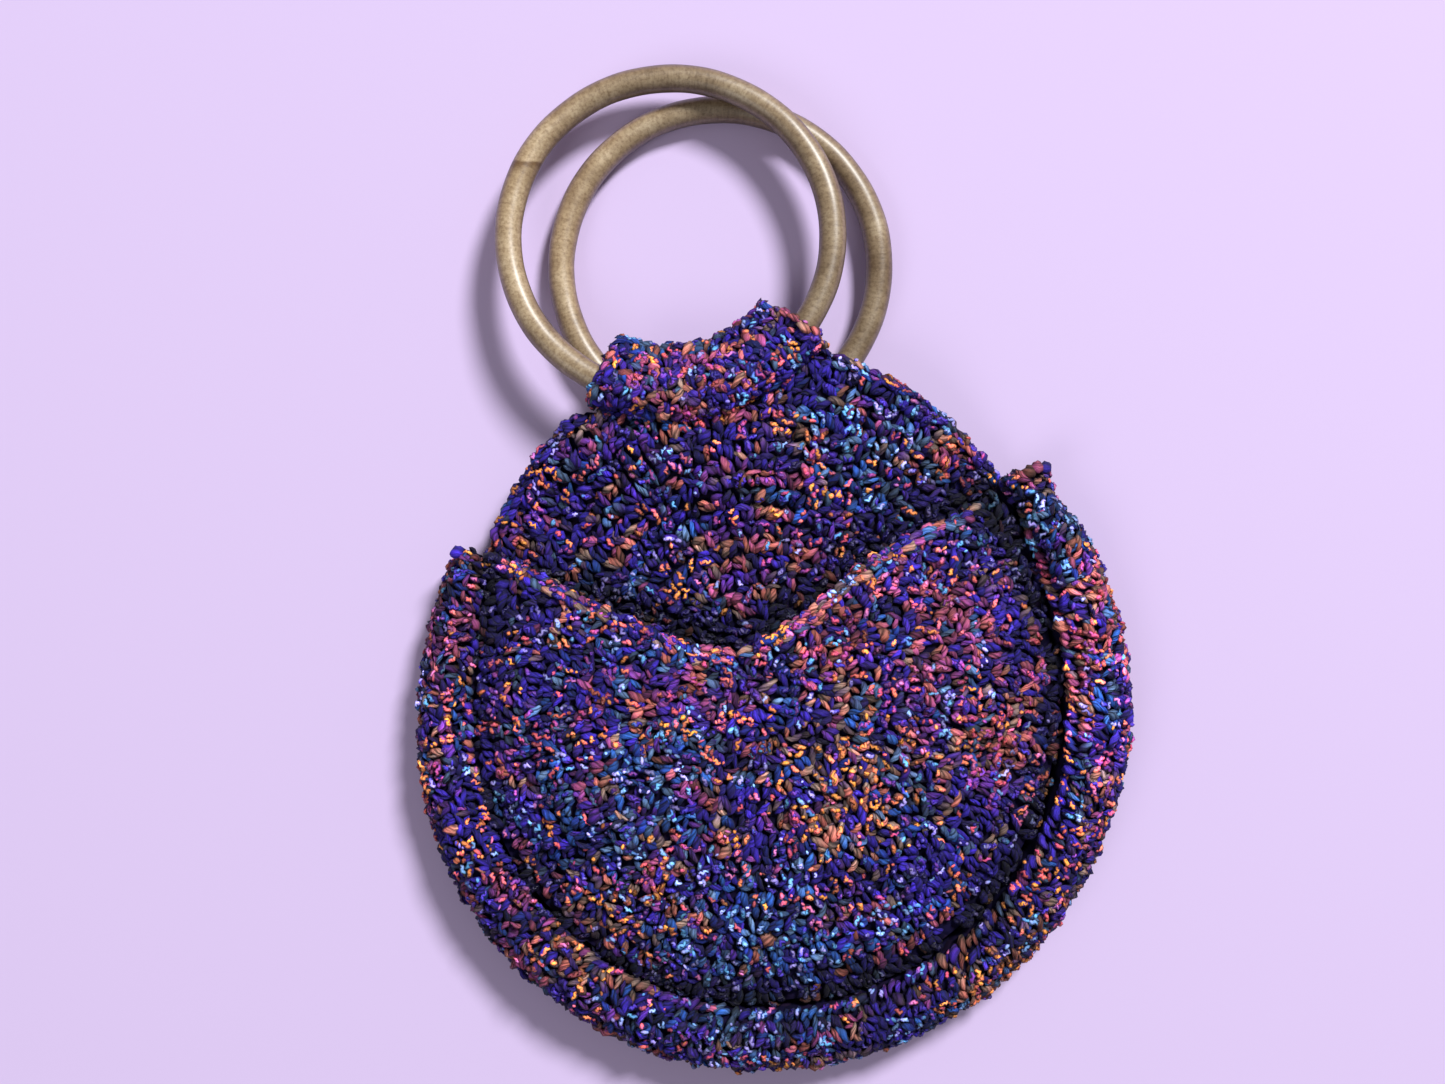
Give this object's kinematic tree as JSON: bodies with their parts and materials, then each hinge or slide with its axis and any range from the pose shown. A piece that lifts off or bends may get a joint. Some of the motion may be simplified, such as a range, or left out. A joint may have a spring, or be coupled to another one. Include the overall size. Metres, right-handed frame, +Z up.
{
  "type": "crochet handbag",
  "caption": "Round crocheted handbag lying flat, with a rim folded outwards, a front pocket with a dipped mouth, and wooden ring handles held in sleeves of the top edge.",
  "frame": {"origin": "on the underside of the back panel, at the centre of the rim's circle", "axes": "+Z up through the bag as it lies on its back, +Y from the bag towards the handles, +X to the right seen from above"},
  "size_m": [0.2663, 0.3776, 0.0351],
  "materials": {
    "yarn": "multicoloured variegated yarn, soft strands bound with a fine glossy thread",
    "ring_wood": "stained and clear lacquered, satin gloss"
  },
  "bodies": {
    "root": {"back_panel": "yarn", "front_panel": "yarn", "gusset": "yarn", "pocket": "yarn", "front_sleeve": "yarn", "back_sleeve": "yarn", "front_ring": "ring_wood", "back_ring": "ring_wood"}
  },
  "joints": []
}
